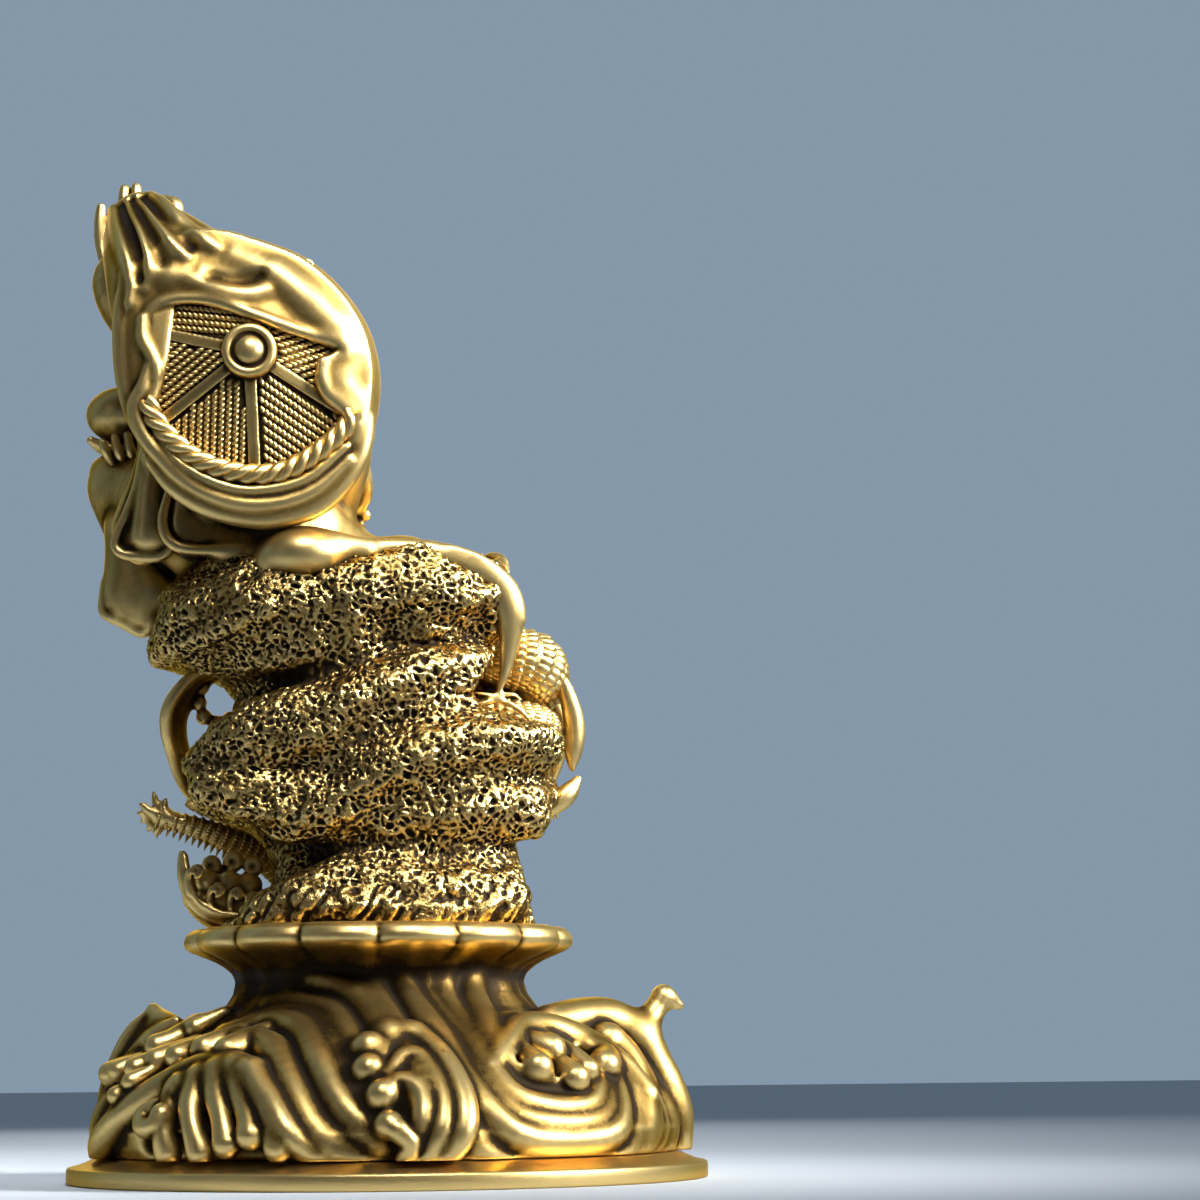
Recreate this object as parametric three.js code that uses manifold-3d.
// A brass statuette: a seated sage on a rock washed by waves, with a dragon around it, on a plinth of
// waves.
// Millimetres. +Z is up, the sage's chest faces -Y and +X is the sage's left.
// The origin is the middle of the foot plate's underside.
import * as THREE from "three";
import { mergeVertices } from "three/addons/utils/BufferGeometryUtils.js";
import Module from "manifold-3d";

const wasm = await Module();
wasm.setup();

// Driving dimensions of the castings
const JOINT_GAP = 0.3;
const SHORTEST_EDGE = 2;
const PLATE = { radius: 125, thick: 6.5, bevel: 1.2, riseRadius: 113, top: 10 };
const PLATE_SIDES = 48;
const PLINTH = {
  foot: 113, swell: 116, swellZ: 21, waist: 56, waistZ: 77, rim: 75, rimZ: 94.5, top: 97.5, petal: 5.5,
    shift: 4,
};
const PLINTH_LOBES = 15;
const PLINTH_SWELLS = 9;
const ROCK = { foot: 97.8, seat: 247 };
const HAT = {
  x: 54, z: 316.5, boss: 11, dome: 6.5, ribWidth: 4.6, ribAngles: [15, 120, 210.5, 267.5, 323.5], faceY: 66,
  ropeRadius: 47, rope: 3.6,
};
const HOOD = { x: 55.5, z: 311, halfWidth: 51, halfHeight: 58, y: 42 };

// Landmarks of the sage's body
const RIGHT_SHOULDER = [21, 15, 322];
const RIGHT_ELBOW = [22, -34, 272];
const RIGHT_WRIST = [86, -33, 295];
const LEFT_SHOULDER = [84, 2, 324];
const LEFT_ELBOW = [111, -17, 345];
const LEFT_WRIST = [109, -19, 380];
const GOURD = { at: [108.5, -28, 311.5], radius: 17, height: 12.5 };
const PEARL = { at: [104, -31, 399], radius: 6 };
const RIGHT_KNEE = [-6, -36, 245];
const RIGHT_ANKLE = [20, -46, 190];
const LEFT_KNEE = [108, -32, 282];
const LEFT_ANKLE = [62, -38, 239];
const HEAD = { at: [43, -2, 350], wide: 20, deep: 23, tall: 25, turn: -0.85 };

// Solids
const BRASS = { color: 0x9a7b38, roughness: 0.42, metalness: 1.0 };

function solidOf(geometry) {
  const bare = geometry.clone();
  bare.deleteAttribute("normal");
  bare.deleteAttribute("uv");
  const merged = mergeVertices(bare, 1e-4);
  return new wasm.Manifold(
    new wasm.Mesh({
      numProp: 3,
      vertProperties: new Float32Array(merged.attributes.position.array),
      triVerts: new Uint32Array(merged.index.array),
    }),
  );
}

// The skin of a joined solid as a geometry: its outer shell alone, with short edges drawn together.
function geometryOf(solid) {
  const { vertProperties, triVerts } = solid.getMesh();
  const corner = (_, i) => new THREE.Vector3().fromArray(vertProperties, 3 * i);
  const points = Array.from({ length: vertProperties.length / 3 }, corner);
  let faces = Array.from({ length: triVerts.length / 3 }, (_, i) => [...triVerts.slice(3 * i, 3 * i + 3)]);
  faces = outerShell(points, faces);
  for (let pass = 0; pass < 4; pass++) faces = drawTogether(points, faces);
  const geometry = new THREE.BufferGeometry();
  const corners = faces.flat().flatMap((v) => points[v].toArray());
  geometry.setAttribute("position", new THREE.Float32BufferAttribute(corners, 3));
  const merged = mergeVertices(geometry, 1e-4);
  merged.computeVertexNormals();
  return merged;
}

// Forms that are joined can seal a pocket between them: of all the shells, only the one that holds the
// most is kept.
function outerShell(points, faces) {
  const root = points.map((_, i) => i);
  const find = (v) => {
    while (root[v] !== v) v = root[v] = root[root[v]];
    return v;
  };
  for (const [a, b, c] of faces) {
    root[find(a)] = find(b);
    root[find(b)] = find(c);
  }
  const shells = new Map();
  for (const face of faces) {
    const key = find(face[0]);
    shells.set(key, [...(shells.get(key) ?? []), ...face]);
  }
  const fuller = (a, b) => (signedVolume(points, b) > signedVolume(points, a) ? b : a);
  const largest = [...shells.values()].reduce(fuller);
  return Array.from({ length: largest.length / 3 }, (_, i) => largest.slice(3 * i, 3 * i + 3));
}

// Joining leaves slivers where forms meet. Each edge shorter than the limit is drawn together at its lower
// end,
// wherever the skin stays one closed sheet and no face turns over.
function drawTogether(points, faces) {
  const around = points.map(() => new Set());
  faces.forEach((face, i) => face.forEach((v) => around[v].add(i)));
  const beside = (v) => new Set([...around[v]].flatMap((i) => faces[i]).filter((w) => w !== v));
  const length = ([a, b]) => points[a].distanceTo(points[b]);
  const short = (e) => e[0] < e[1] && length(e) < SHORTEST_EDGE;
  const edges = faces.flatMap(([a, b, c]) => [[a, b], [b, c], [c, a]]).filter(short);
  for (const [a, b] of edges.sort((e, f) => length(e) - length(f))) {
    const [keep, gone] = points[a].z <= points[b].z ? [a, b] : [b, a];
    const shared = [...around[gone]].filter((i) => around[keep].has(i));
    const near = beside(gone);
    if (shared.length !== 2 || [...beside(keep)].filter((v) => near.has(v)).length !== 2) continue;
    const moved = [...around[gone]].filter((i) => !shared.includes(i));
    if (moved.some((i) => turnsOver(points, faces[i], gone, keep))) continue;
    shared.forEach((i) => faces[i].forEach((v) => around[v].delete(i)));
    for (const i of moved) {
      faces[i] = faces[i].map((v) => (v === gone ? keep : v));
      around[keep].add(i);
    }
    around[gone].clear();
  }
  return faces.filter((face, i) => around[face[0]].has(i));
}

function turnsOver(points, face, gone, keep) {
  const normal = (corners) => {
    const [a, b, c] = corners.map((v) => points[v]);
    return new THREE.Vector3().crossVectors(b.clone().sub(a), c.clone().sub(a)).normalize();
  };
  return normal(face).dot(normal(face.map((v) => (v === gone ? keep : v)))) < 0.3;
}

// A closed skin over rings of equal point counts, its two ends closed to tips, which are the rings'
// middles by default.
function loft(rings, tips = [middle(rings[0]), middle(rings.at(-1))]) {
  const count = rings[0].length;
  const points = [...rings.flat(), ...tips];
  const last = (rings.length - 1) * count;
  const faces = [];
  for (let i = 0; i < rings.length - 1; i++) {
    for (let j = 0; j < count; j++) {
      const a = i * count + j;
      const b = i * count + ((j + 1) % count);
      faces.push(a, b, a + count, b, b + count, a + count);
    }
  }
  for (let j = 0; j < count; j++) {
    const k = (j + 1) % count;
    faces.push(points.length - 2, k, j, points.length - 1, last + j, last + k);
  }
  const geometry = new THREE.BufferGeometry();
  geometry.setAttribute("position", new THREE.Float32BufferAttribute(points.flatMap((p) => p.toArray()),
    3));
  geometry.setIndex(signedVolume(points, faces) < 0 ? faces.reverse() : faces);
  return solidOf(geometry);
}

function middle(ring) {
  return ring.reduce((sum, p) => sum.add(p), new THREE.Vector3()).divideScalar(ring.length);
}

function signedVolume(points, faces) {
  let sum = 0;
  for (let i = 0; i < faces.length; i += 3) {
    const [a, b, c] = [points[faces[i]], points[faces[i + 1]], points[faces[i + 2]]];
    sum += a.dot(new THREE.Vector3().crossVectors(b, c));
  }
  return sum;
}

// A limb with pointed ends through stations [x, y, z, radius]. flat below 1 thins it along the facing
// direction.
function limb(stations, { sides = 6, per = 1, flat = 1, facing = null } = {}) {
  const centres = stations.map((s) => new THREE.Vector3(s[0], s[1], s[2]));
  const path = new THREE.CatmullRomCurve3(centres, false, "centripetal");
  const girth = new THREE.SplineCurve(stations.map((s, i) => new THREE.Vector2(i, s[3])));
  const steps = (stations.length - 1) * per;
  const rings = [];
  const tips = [];
  let normal = facing ? new THREE.Vector3(...facing) : new THREE.Vector3(0.31, 0.22, 0.92);
  for (let i = 0; i <= steps; i++) {
    const here = path.getPoint(i / steps);
    const tangent = path.getTangent(i / steps);
    const across = new THREE.Vector3().crossVectors(tangent, normal).normalize();
    const out = new THREE.Vector3().crossVectors(across, tangent).normalize();
    if (!facing) normal = out;
    const radius = Math.max(girth.getPoint(i / steps).y, 0.4);
    rings.push(Array.from({ length: sides }, (_, j) => {
      const a = (j / sides) * 2 * Math.PI;
      const rim = here.clone().addScaledVector(across, radius * Math.cos(a));
      return rim.addScaledVector(out, flat * radius * Math.sin(a));
    }));
    if (i === 0) tips.push(here.clone().addScaledVector(tangent, -0.6 * radius * flat));
    if (i === steps) tips.push(here.clone().addScaledVector(tangent, 0.6 * radius * flat));
  }
  return loft(rings, tips);
}

function ball([x, y, z], [rx, ry, rz], turn = 0, [wide, tall] = [8, 6]) {
  const geometry = new THREE.SphereGeometry(1, wide, tall);
  geometry.rotateX(Math.PI / 2).scale(rx, ry, rz).rotateZ(turn).translate(x, y, z);
  return solidOf(geometry);
}

const union = (solids) => solids.reduce((sum, s) => sum.add(s));
const at = (point, radius, shift = [0, 0, 0]) => [point[0] + shift[0], point[1] + shift[1],
  point[2] + shift[2], radius];
const mix = (a, b, t) => a.map((v, i) => v + (b[i] - v) * t);
const smooth = (t) => t * t * (3 - 2 * t);

// A place on the plinth or rock: an angle in degrees from the back (+Y) toward +X, a radius and a height.
function around(angle, radius, z, shift = 0) {
  const a = THREE.MathUtils.degToRad(angle);
  return [shift + radius * Math.sin(a), radius * Math.cos(a), z];
}

// The foot plate: a round rim, and a low slope that rises to the plinth
function footPlate() {
  const { radius, thick, bevel, riseRadius, top } = PLATE;
  const profile = [[0, 0], [radius, 0], [radius, thick - bevel], [radius - bevel, thick], [riseRadius, top],
    [0, top]];
  const geometry = new THREE.LatheGeometry(profile.map((p) => new THREE.Vector2(...p)), PLATE_SIDES);
  return solidOf(geometry.rotateX(Math.PI / 2));
}

// The plinth: one skin whose lower part is pushed out into leaning swells and whose top plate is lobed
function plinthBody() {
  const sides = 4 * PLINTH_LOBES;
  const { foot, swell, swellZ, waist, waistZ, rim, rimZ, top, shift } = PLINTH;
  const base = PLATE.top + JOINT_GAP;
  const levels = [
    // height, radius, share of the swells, share of the lobes
    [base, foot - 3, 0, 0], [base + 4, foot, 0.4, 0], [swellZ, swell - 3, 0.7, 0], [31, 109, 1, 0],
    [41, 100, 1, 0], [50, 88, 1, 0], [58, 72, 0.8, 0], [66, 62, 0.2, 0], [waistZ, waist, 0, 0],
    [84, waist + 5, 0, 0], [88, rim - 4, 0, 0.7], [91, rim, 0, 1], [rimZ, rim + 0.6, 0, 1],
      [top, rim - 2, 0, 0.9],
  ];
  const rings = levels.map(([z, radius, share, lobe]) =>
    Array.from({ length: sides }, (_, j) => {
      const angle = (j / sides) * 360;
      const petal = Math.abs(Math.sin(THREE.MathUtils.degToRad(angle * PLINTH_LOBES) / 2)) ** 0.5 - 0.8;
      const r = radius + share * swellHeight(angle, z) + lobe * PLINTH.petal * petal;
      return new THREE.Vector3(...around(angle, r, z, shift * smooth(Math.min(1, z / waistZ))));
    }),
  );
  return loft(rings);
}

// How far the leaning swells stand out of the plinth: round-backed, each higher on one side than on the
// other.
function swellHeight(angle, z) {
  const phase = (angle + 0.55 * (z - 20)) * (PLINTH_SWELLS / 360);
  const t = phase - Math.floor(phase);
  return 9 * Math.sin(Math.PI * t ** 0.7) - 3;
}

// A leaf-shaped wave that stands on the plinth's foot and curls over at its top.
function leaf(angle) {
  const stations = [
    [0, 110, 17, 6], [-5, 114, 25, 9], [-6, 112, 38, 9], [-2, 106, 50, 8], [5, 106, 55, 6],
      [9, 110, 48, 4.5],
    [6, 113, 42, 3],
  ];
  return limb(stations.map(([a, r, z, w]) => [...around(angle + a, r, z), w]));
}

// A fan of finger-like drops that hangs over the plinth's foot.
function dropFan(angle) {
  return [-1, -1 / 3, 1 / 3, 1].map((side) => {
    const root = [...around(angle + side * 4, 109, 38), 4.5];
    const tip = [...around(angle + side * 13, 115, 20 + 8 * Math.abs(side)), 4];
    return limb([root, tip], { sides: 5 });
  });
}

// Splashes that leave the plinth's shoulder
const BIRD_SPLASH = [
  [[-62, 28, 58, 9], [-74, 18, 60, 9.5], [-86, 8, 59, 10.5], [-97, 5, 54, 9]],
  [[-94, 6, 56, 9], [-101, 4, 60, 6.2], [-105.5, 2.5, 65.5, 4.6], [-108.5, 1, 69.5, 4.9]],
  [[-109, 1, 70.5, 3.8], [-115.5, 0, 66.5, 1.8]],
  [[-98, 6, 52, 10], [-107, 6, 34, 9.5], [-110, 6, 18, 8]],
];
const PEAK_SPLASH = [
  [[78, 18, 50, 9], [85, 14, 57, 7.5], [92.5, 8, 68, 1.6]],
  [[92, 8, 66, 2], [99, 7, 58, 4], [107, 3, 33, 6], [108, 3, 21, 5.5]],
];

function plinth() {
  const peak = (side) => PEAK_SPLASH.map((path) => limb(path.map(([x, y, z, r]) => [side * x, side * y, z,
    r])));
  return union([
    plinthBody(), leaf(-3), leaf(177), ...dropFan(36), ...dropFan(216),
    ...BIRD_SPLASH.map((path) => limb(path)), ...peak(1), ...peak(-0.94),
  ]);
}

// The rock: a pile of slabs, narrow at two waists
function rock() {
  const sides = 20;
  const slabs = [
    // height, least x, greatest x, half depth, middle y
    [ROCK.foot, -54, 62, 52, 0], [104, -55, 56, 56, 0], [113, -53, 48, 50, 0], [122, -49, 44, 42, 0],
    [131, -48, 47, 42, 2], [139, -56, 62, 46, 2], [146, -62, 81, 49, 0], [153, -64, 81, 50, 0],
    [163, -64, 78, 50, 0], [171, -63, 72, 49, 0], [178, -56, 64, 46, 2], [187, -39, 58, 41, 4],
    [196, -37, 64, 41, 5], [204, -38, 88, 44, 3], [212, -40, 94, 48, 1], [222, -42, 91, 50, 2],
    [230, -43, 87, 50, 3], [238, -43, 83, 48, 3], [ROCK.seat, -38, 74, 42, 3],
  ];
  const rings = slabs.map(([z, low, high, depth, middleY]) =>
    Array.from({ length: sides }, (_, j) => {
      const a = (j / sides) * 2 * Math.PI;
      const rough = 1 + 0.02 * Math.sin(5 * a + z * 0.11) + 0.02 * Math.sin(9 * a - z * 0.19);
      const x = (low + high) / 2 + ((high - low) / 2) * Math.cos(a) * rough;
      const strata = 3 * Math.sin(z * 0.33 + 2 * a);
      return new THREE.Vector3(x, middleY + (depth + strata) * Math.sin(a) * rough, z);
    }),
  );
  return loft(rings);
}

// A wave on the rock: a flattened surge along its path, with a row of spiral curls inside its crest.
function surge({ path, facing, curls, inward }) {
  const curve = new THREE.CatmullRomCurve3(path.map(([x, y, z]) => new THREE.Vector3(x, y, z)));
  const body = limb(path, { sides: 7, flat: 0.5, facing });
  const rows = Array.from({ length: curls }, (_, i) => {
    const p = curve.getPoint(0.35 + (0.6 * i) / Math.max(1, curls - 1));
    return curl(p.toArray().map((v, k) => v + inward[k]), 4.5);
  });
  return [body, ...rows];
}

function curl(centre, size) {
  const turns = Array.from({ length: 5 }, (_, i) => {
    const a = i * 1.3;
    const r = size * (1 - i / 6);
    return [centre[0] + 0.7 * r * Math.cos(a), centre[1] - 0.7 * r * Math.cos(a),
      centre[2] + r * Math.sin(a), 2.2 - i * 0.2];
  });
  return limb(turns, { sides: 4 });
}

const SURGES = [
  // the tall one at the left, the one before the right foot, the arch at the right, and the low one at the
  // foot
  {
    path: [[29, -54, 146, 5], [57, -50, 147, 7], [77, -30, 155, 7], [85, -8, 169, 6.5],
      [86.5, -2, 181, 6.5],
      [83, -1, 189, 6], [75, 0, 198, 4.5], [63, 0, 203, 3.5]],
    facing: [0.8, -0.6, 0], curls: 4, inward: [-9, 2, 4],
  },
  {
    path: [[-44, -32, 168, 7], [-20, -54, 166, 9], [-2, -58, 178, 9], [4, -52, 196, 8], [-2, -46, 210, 5]],
    facing: [0.3, -1, 0.2], curls: 3, inward: [-8, -2, 6],
  },
  {
    path: [[-60, 8, 202, 3], [-69.5, 5, 196, 3], [-74, 3, 188, 4], [-75.6, 1, 178.5, 4],
      [-74.4, 0, 169.5, 4],
      [-73, -1, 161.5, 2]],
    facing: [0, -1, 0.2], curls: 0, inward: [0, 0, 0],
  },
  {
    path: [[-24, -58, 104, 5], [10, -66, 104, 6.5], [46, -60, 105, 7], [68, -36, 107, 7], [80, -16, 114, 6],
      [83, -4, 123, 3]],
    facing: [0.6, -0.8, 0], curls: 4, inward: [-5, 3, 8],
  },
];
const LOW_WAVE_END = [[58, 12, 101.5, 2.6], [69, 11, 102.6, 3], [76.5, 11, 107.5, 3], [79.5, 10, 115, 2.6],
  [81, 10, 127, 1.4]];
const BAMBOO = [[-26, -56, 172, 4.5], [0, -62, 171, 4.5], [14, -62, 170, 4.5]];

function waves() {
  return [
    ...SURGES.flatMap(surge), limb(LOW_WAVE_END, { sides: 5 }), limb(BAMBOO, { sides: 7 }),
    ball([6, -63, 172], [6.5, 6.5, 6.5]),
  ];
}

// The dragon
const NECK = [
  [-36, -8, 232, 9], [-42, -13, 219, 10.5], [-45, -23, 205, 12], [-43, -35, 192, 12.5], [-36, -44, 178, 12],
  [-37, -42, 165, 11],
];
const TRUNK = [
  [-48, -28, 162, 10], [-32, -46, 151, 11.5], [-10, -55, 137, 12], [12, -57, 122, 10.5],
    [34, -52, 121, 9.5],
  [52, -37, 130, 6.6], [66, -28, 136, 5.6], [80, -25, 141, 4.8], [93, -24, 144, 3.4],
];
const COIL = [[-36, 10, 206, 9], [-48, 10, 205, 11.5], [-57.5, 7, 203, 12], [-59, -6, 196, 12],
  [-50, -20, 184, 9]];
const LOW_COIL = [[-38, 16, 181, 6.5], [-50, 15, 180, 7], [-60, 10, 178, 7], [-63, -2, 175, 7]];
const LEGS = [
  [[-40, -40, 150, 8], [-44, -50, 134, 6], [-38, -52, 120, 4.5], [-42, -50, 106, 4.5]],
  [[-56, -4, 176, 7], [-65, -2, 168, 5], [-67, 2, 158, 4], [-65, 8, 150, 4]],
];

function dragon() {
  const body = [limb(NECK, { sides: 8 }), ...[TRUNK, COIL,
    LOW_COIL].map((path) => limb(path, { sides: 7 }))];
  return [...body, ...dragonHead(), ...dragonLegs(), ...spines(TRUNK, 5), ...spines(NECK, 4), tailFin()];
}

function dragonHead() {
  const back = [-38, 3, 231];
  const brow = [-34, -12, 239];
  const snout = [-28, -30, 243];
  const jaw = [-28, -32, 228];
  const horn = (side) => [at(brow, 3, [side, 4, 4]), at(brow, 2.6, [side * 1.3, 14, 7]),
    at(brow, 1.2, [side * 1.5, 22, 5])];
  const mane = (i) => [at(back, 3, [-3, 2 * i, 2 - 5 * i]), at(back, 2, [-6, 6 + 2 * i, 1 - 8 * i])];
  return [
    limb([at(back, 11), at(brow, 10), at(mix(brow, snout, 0.6), 8), at(snout, 6.5)], { sides: 8 }),
    limb([at(back, 8, [0, -4, -6]), at(mix(back, jaw, 0.5), 6, [0, 0, -3]), at(jaw, 4.5)], { sides: 7 }),
    ball([-28, -33, 248], [5, 4, 4]),
    ...[-5, 5].map((side) => limb(horn(side), { sides: 5 })),
    ...[-7, 7].map((side) => ball([brow[0] + side, brow[1] - 2, brow[2] + 4], [3.4, 3.4, 3.2])),
    ...[0, 2].map((i) => limb(mane(i), { sides: 5 })),
  ];
}

function dragonLegs() {
  return LEGS.flatMap((leg) => {
    const paw = leg.at(-1);
    const toe = (i) => [paw, at(paw, 2.4, [-5 - i, -4 + 6 * i, -3]),
      at(paw, 1.1, [-8 - i, -5 + 9 * i, -6])];
    return [limb(leg, { sides: 7 }), ...[-1, 0, 1].map((i) => limb(toe(i), { sides: 5 }))];
  });
}

// Pointed spines that stand on the upper side of a dragon's trunk.
function spines(stations, count) {
  const curve = new THREE.CatmullRomCurve3(stations.map(([x, y, z]) => new THREE.Vector3(x, y, z)));
  return Array.from({ length: count }, (_, i) => {
    const t = 0.12 + (0.55 * i) / (count - 1);
    const place = curve.getPoint(t).toArray();
    const r = stations[Math.round(t * (stations.length - 1))][3];
    const path = [at(place, 2.6, [0, -0.5 * r, 0.6 * r]), at(place, 1.4, [1, -0.9 * r, r]),
      at(place, 0.6, [2, -r - 1, r + 3])];
    return limb(path, { sides: 4 });
  });
}

function tailFin() {
  const tips = [[96, -24, 154], [102, -24, 146], [97, -26, 138]];
  return union(tips.map((tip) => limb([[89, -24, 144, 3.2], at(mix([90, -24, 144], tip, 0.6), 1.8),
    at(tip, 0.6)], { sides: 5 })));
}

// The sage
function head() {
  const { at: c, wide, deep, tall, turn } = HEAD;
  const place = (x, y, z) => {
    const p = new THREE.Vector3(x, y, z).applyAxisAngle(new THREE.Vector3(0, 0, 1), turn);
    return [c[0] + p.x, c[1] + p.y, c[2] + p.z];
  };
  const on = (x, y, z, r) => [...place(x, y, z), r];
  const band = Array.from({ length: 11 }, (_, i) => {
    const a = (i / 10) * 2 * Math.PI;
    return on((wide + 0.6) * Math.sin(a), (deep + 0.2) * Math.cos(a), 4.5, 1.8);
  });
  const brow = (s) => [on(s * 3, -22.5, 1.5, 1.6), on(s * 9, -20, 2.5, 1.8), on(s * 14, -15.5, 0.5, 1.2)];
  const ear = (s) => [on(s * 20, 2, 2, 3), on(s * 21, 3, -6, 3.4), on(s * 20, 1, -18, 3),
    on(s * 19.5, 0, -24, 2.4)];
  const lock = (i) => [
    on(i * 10, -15 + Math.abs(i) * 4, -16, 7),
    on(i * 8, -20 + Math.abs(i) * 3, -28, 6),
    on(i * 4, -21 + Math.abs(i), -38 + 4 * Math.abs(i), 2.5),
  ];
  return [
    ball(c, [wide, deep, tall], turn, [12, 9]),
    ball(place(0, -6, -14), [15.5, 16, 15], turn, [9, 6]),
    limb(band, { sides: 4 }),
    ...[-4, 4].map((x) => ball(place(x, -deep - 0.4, 7), [3.4, 1.8, 3.2], turn, [6, 4])),
    limb([on(0, -22, -1, 2.2), on(0, -24.5, -7, 2.6), on(0, -24.5, -10, 3.4)]),
    ...[-1, 1].map((s) => limb(brow(s), { sides: 5 })),
    ...[-1, 1].map((s) => ball(place(s * 8.5, -18.5, -3), [4.2, 2.6, 2.2], turn, [6, 4])),
    ...[-1, 1].map((s) => limb(ear(s), { sides: 5 })),
    ...[-1, 0, 1].map((i) => limb(lock(i))),
    limb([on(-11, -19, -16, 1.6), on(-4, -23.5, -11.5, 2.4), on(4, -23.5, -11.5, 2.4),
      on(11, -19, -16, 1.6)], { sides: 5 }),
  ];
}

// A hand: a palm and fingers, each a knuckle and a tip.
function hand(wrist, palm, fingers, thumb) {
  const rays = fingers.map(([knuckle, tip]) => limb([at(palm, 4), at(knuckle, 3.2), at(tip, 2.4)],
    { sides: 5 }));
  const across = limb([at(palm, 4), at(thumb[0], 3), at(thumb[1], 2.5)], { sides: 5 });
  return [limb([at(wrist, 7), at(palm, 8)], { sides: 7 }), ...rays, across];
}

const LOW_HAND = {
  palm: [104, -28, 294],
  fingers: [-8, -3, 2, 7].map((y) => [[117, -30 + y, 296], [122, -30 + y, 301]]),
  thumb: [[100, -42, 298], [106, -46, 306]],
};
const RAISED_HAND = {
  palm: [109, -20, 387],
  fingers: [
    [[119, -19, 386], [119.5, -19, 398]], [[112, -18, 399], [110.4, -20, 406]],
      [[108, -20, 399], [105.6, -20, 406]],
    [[104, -22, 393], [100.5, -24, 398]],
  ],
  thumb: [[98, -12, 392], [89, -8, 395]],
};

function arms() {
  return [
    limb([at(RIGHT_SHOULDER, 15), at(mix(RIGHT_SHOULDER, RIGHT_ELBOW, 0.45), 13.5),
      at(RIGHT_ELBOW, 10, [0, 0, 3])], { sides: 10 }),
    limb([at(RIGHT_ELBOW, 10), at(mix(RIGHT_ELBOW, RIGHT_WRIST, 0.35), 10.5), at(RIGHT_WRIST, 6.5)],
      { sides: 9 }),
    limb([at(LEFT_SHOULDER, 14), at(mix(LEFT_SHOULDER, LEFT_ELBOW, 0.6), 12.5), at(LEFT_ELBOW, 10)],
      { sides: 9 }),
    limb([at(LEFT_ELBOW, 9), at(LEFT_ELBOW, 12, [-1.5, 7, 17]), at(LEFT_ELBOW, 9, [-2, 2, 27]),
      at(LEFT_WRIST, 6)], { sides: 9 }),
    ...hand(RIGHT_WRIST, LOW_HAND.palm, LOW_HAND.fingers, LOW_HAND.thumb),
    ...hand(LEFT_WRIST, RAISED_HAND.palm, RAISED_HAND.fingers, RAISED_HAND.thumb),
    ball(GOURD.at, [GOURD.radius, GOURD.radius, GOURD.height], 0, [14, 9]),
    ball(PEARL.at, [PEARL.radius, PEARL.radius, PEARL.radius], 0, [9, 7]),
  ];
}

function trunkAndLegs() {
  const hips = [50, 4, 262];
  const leftHip = [74, 0, 262];
  const rightHip = [32, 2, 252];
  const shin = mix(RIGHT_KNEE, RIGHT_ANKLE, 0.5);
  const calf = mix(LEFT_KNEE, LEFT_ANKLE, 0.6);
  const rightLeg = [
    at(rightHip, 19), at(mix(rightHip, RIGHT_KNEE, 0.5), 17), at(RIGHT_KNEE, 15.5),
      at(shin, 17, [-2, 3, 4]),
    at(shin, 18, [-4, 4, -12]),
  ];
  const leftShin = [at(LEFT_KNEE, 15), at(mix(LEFT_KNEE, LEFT_ANKLE, 0.45), 15, [3, -3, -3]),
    at(calf, 12, [0, -2, -4])];
  return [
    limb([at(hips, 30, [0, 6, -4]), at(hips, 27, [1, 2, 24]), at(hips, 26, [0, 0, 48]),
      at(hips, 16, [0, 0, 70])], { sides: 10 }),
    limb([at(hips, 17, [-24, 8, 54]), at(hips, 18, [24, -2, 56])], { sides: 9 }),
    limb([at(hips, 11, [-2, -2, 70]), at(HEAD.at, 11, [0, 2, -14])], { sides: 8 }),
    limb(rightLeg, { sides: 9 }),
    limb([at(shin, 8), at(RIGHT_ANKLE, 6.5), at(RIGHT_ANKLE, 6.5, [1, -1, -6])], { sides: 7 }),
    ...foot([20, -46, 181], [26, -60, 176], 6.5),
    limb([at(leftHip, 24), at(mix(leftHip, LEFT_KNEE, 0.55), 20), at(LEFT_KNEE, 15)], { sides: 10 }),
    limb(leftShin, { sides: 9 }),
    limb([at(calf, 8), at(LEFT_ANKLE, 6.5)], { sides: 7 }),
    ...foot(LEFT_ANKLE, [46, -46, 229], 6.5),
  ];
}

// A foot from heel to sole with five toes in a row.
function foot(heel, sole, thick) {
  const [dx, dy] = [sole[0] - heel[0], sole[1] - heel[1]];
  const length = Math.hypot(dx, dy);
  const toes = [-2, -1, 0, 1, 2].map((i) => {
    const forward = mix(heel, sole, 1.35 - 0.06 * Math.abs(i - 1));
    const place = [forward[0] - (dy / length) * i * 3.4, forward[1] + (dx / length) * i * 3.4,
      forward[2] - 1];
    return ball(place, [2.6, 2.6, 2.4], 0, [5, 4]);
  });
  return [limb([at(heel, thick), at(mix(heel, sole, 0.6), thick), at(sole, thick + 1.5)], { sides: 7 }),
    ...toes];
}

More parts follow.
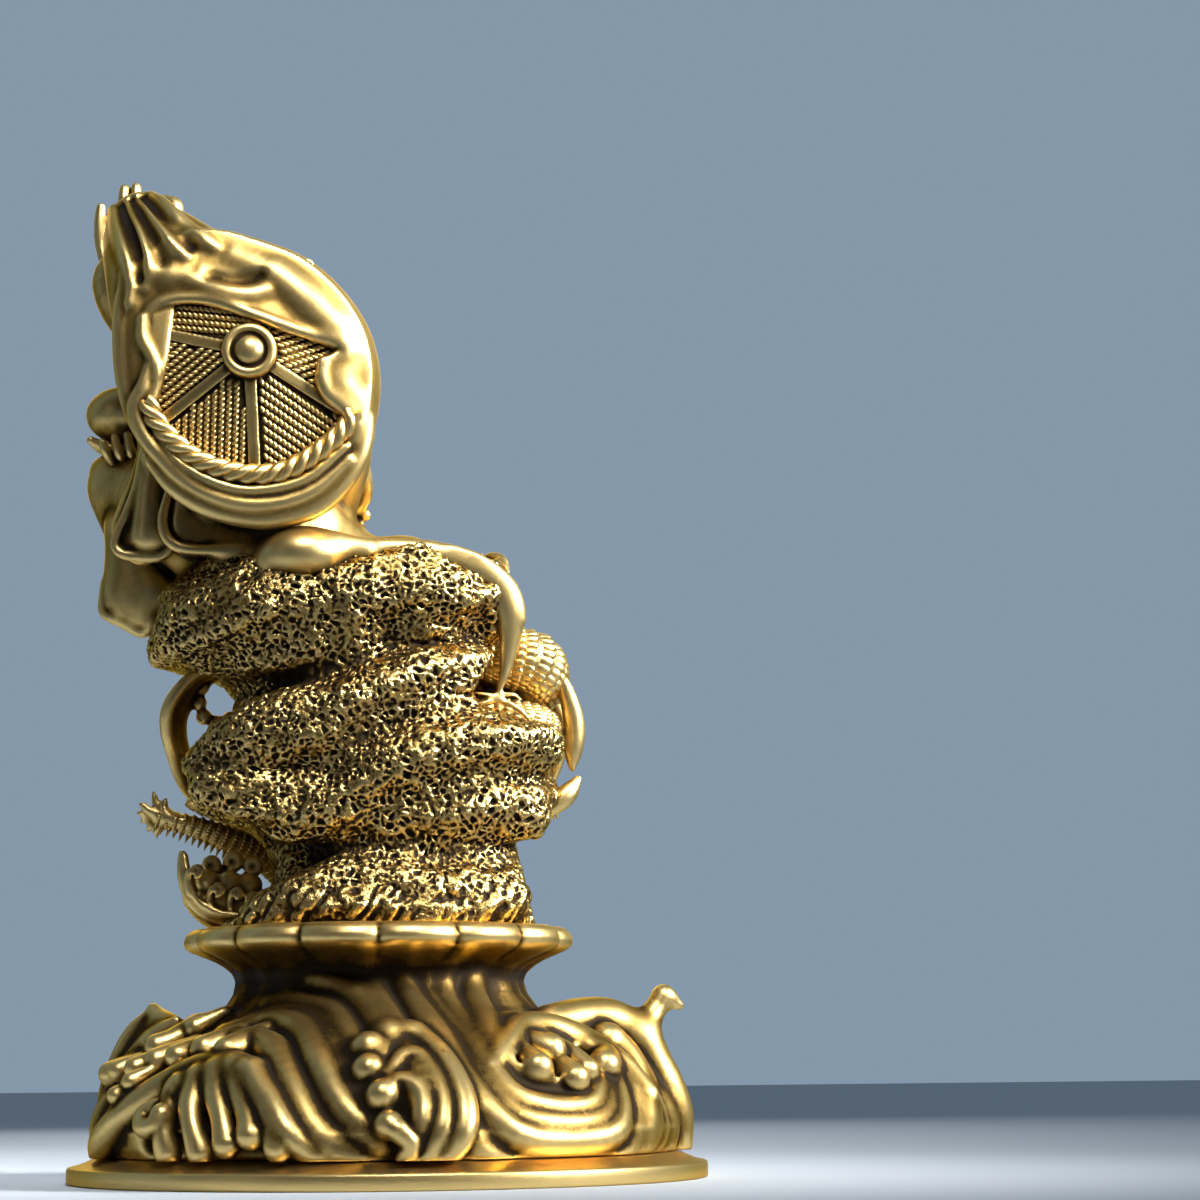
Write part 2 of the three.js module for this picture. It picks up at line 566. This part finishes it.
// The robe: shoulder folds, sash and hems in front, and behind it the side panels, the seat and the cloth
// on the rock
const ROBE = [
  { path: [[90, 14, 336, 8], [78, -16, 324, 6], [72, -22, 296, 6], [64, -26, 268, 6]] },
  { path: [[95, 12, 328, 8], [91, -6, 312, 7], [88, -14, 290, 6], [82, -18, 268, 6]] },
  { path: [[30, 24, 338, 7], [20, 22, 326, 8], [15, 14, 304, 8], [16, 2, 284, 8], [26, -14, 268, 6]] },
  { path: [[14, -18, 268, 6], [38, -30, 264, 7], [64, -31, 261, 7], [84, -22, 264, 6]] },
  { path: [[6, -30, 255, 5], [36, -36, 249, 7], [62, -38, 246, 6], [80, -33, 252, 5]] },
  { path: [[-10, -34, 232, 12], [-14, -34, 212, 8], [-17, -31, 201, 4]] },
  { path: [[102, -24, 258, 10], [108, -21, 244, 9], [112, -19, 232, 5], [114, -19, 226, 2.5]] },
  { path: [[98, -22, 250, 10], [96, -18, 234, 8], [98, -16, 222, 4]] },
  { path: [[98, 27, 288, 4], [101, 25, 272, 5], [104, 24, 256, 5.5], [99, 24, 247, 4.5],
    [90, 26, 246, 3.5]] },
  { path: [[94, 25, 284, 6], [93, 25, 266, 8], [93, 24, 252, 8]] },
  { path: [[84, 30, 276, 10], [82, 32, 260, 9], [76, 33, 252, 7], [56, 33, 251, 6]] },
  { path: [[50, 40, 237, 6], [36, 42, 241, 11], [20, 41, 243, 8], [8, 40, 243, 6]], sides: 8 },
  { path: [[62, 28, 243, 8], [34, 28, 241, 10], [8, 32, 239, 9], [-14, 31, 239, 7]], sides: 7 },
  {
    path: [[8, 38, 243, 5], [-16, 39, 243.5, 4], [-27, 38, 241, 4.6], [-37, 36, 236.5, 5.4],
      [-44.5, 33, 230, 6],
      [-47.8, 31, 221.5, 6.4], [-47.6, 30, 214, 5], [-47, 29, 207, 4], [-45.6, 28, 198, 2.6],
        [-43.4, 27, 190, 1.6]],
    flat: 0.7, facing: [-0.4, 0.9, 0.1],
  },
];

const limbOf = ({ path, ...shape }) => limb(path, shape);

// The hood and the straw hat on the back
function hood() {
  const sides = 24;
  const { x, z, halfWidth, halfHeight, y } = HOOD;
  const rings = [
    // middle x, middle z, half width, half height, y
    [HAT.x, HAT.z, HAT.dome * 0.5, HAT.dome * 0.5, HAT.faceY + 6],
      [HAT.x, HAT.z, HAT.dome, HAT.dome, HAT.faceY + 4],
    [HAT.x, HAT.z, HAT.boss, HAT.boss, HAT.faceY + 2.5],
      [HAT.x, HAT.z, HAT.boss + 0.5, HAT.boss + 0.5, HAT.faceY - 2],
    [HAT.x, HAT.z - 10, 40, 36, y + 6], [HAT.x, HAT.z - 10, 41.5, 38, y + 13], [x, z, 47, 48, y + 12],
    [x, z, halfWidth, halfHeight - 2, y + 4], [x, z, halfWidth + 1, halfHeight, y - 4],
      [x, z, halfWidth - 3, halfHeight - 4, y - 12],
    [x, z + 4, 34, 38, y - 24], [x, z + 6, 20, 24, y - 34],
  ];
  return loft(rings.map(([cx, cz, a, b, depth]) =>
    Array.from({ length: sides }, (_, j) => {
      const t = (j / sides) * 2 * Math.PI;
      return new THREE.Vector3(cx + a * Math.cos(t), depth, cz + b * Math.sin(t));
    }),
  ));
}

function hatTrim() {
  const ribs = HAT.ribAngles.map((degrees) => {
    const a = THREE.MathUtils.degToRad(degrees);
    const point = (r, y) => [HAT.x + r * Math.cos(a), y, HAT.z + r * Math.sin(a)];
    const half = HAT.ribWidth / 2;
    return limb([at(point(HAT.boss - 2, HAT.faceY - 1), half), at(point(33, HAT.faceY - 8), half)],
      { sides: 4 });
  });
  const rope = Array.from({ length: 9 }, (_, i) => {
    const a = Math.PI * (1.13 + (0.76 * i) / 8);
    const r = HAT.ropeRadius;
    return [HAT.x + (r - 7) * Math.cos(a), HOOD.y + 12, HAT.z - 4 + (r - 4) * Math.sin(a), HAT.rope];
  });
  const swag = (k) => Array.from({ length: 7 }, (_, i) => {
    const a = Math.PI * (1.1 + (0.8 * i) / 6);
    return [HOOD.x + (42 + 3 * k) * Math.cos(a), HOOD.y + 11 - 5 * k,
      HOOD.z - 2 + (46 + 5 * k) * Math.sin(a), 3.6];
  });
  return [...ribs, limb(rope, { sides: 5 }), ...[0, 2].map((k) => limb(swag(k), { sides: 5 }))];
}

// The cloth that rises from the hood to the raised hand: two limbs side by side with a fold on each edge
const RAISED_CLOTH = [
  [[107, -2, 390, 7], [104, 10, 378, 9.5], [98, 28, 364, 12], [92, 38, 350, 12]],
  [[98, -2, 391, 7], [92, 9, 382, 9], [85, 25, 370.5, 11], [77, 37, 359, 13]],
  [[115, -1, 393, 2.6], [115, 5, 384, 3], [111, 15, 374, 3.4], [106, 27, 362, 3.4], [104, 38, 344, 3.4]],
];

function statue() {
  return union([
    rock(), ...waves(), ...dragon(), ...trunkAndLegs(), ...arms(), ...head(), ...ROBE.map(limbOf), hood(),
    ...hatTrim(), ...RAISED_CLOTH.map((path) => limb(path, { sides: 7 })),
  ]);
}

function mesh(name, solid) {
  const made = new THREE.Mesh(geometryOf(solid), new THREE.MeshStandardMaterial(BRASS));
  made.name = name;
  return made;
}

const root = new THREE.Group();
root.add(mesh("foot_plate", footPlate()), mesh("wave_plinth", plinth()), mesh("statue", statue()));
export default root;
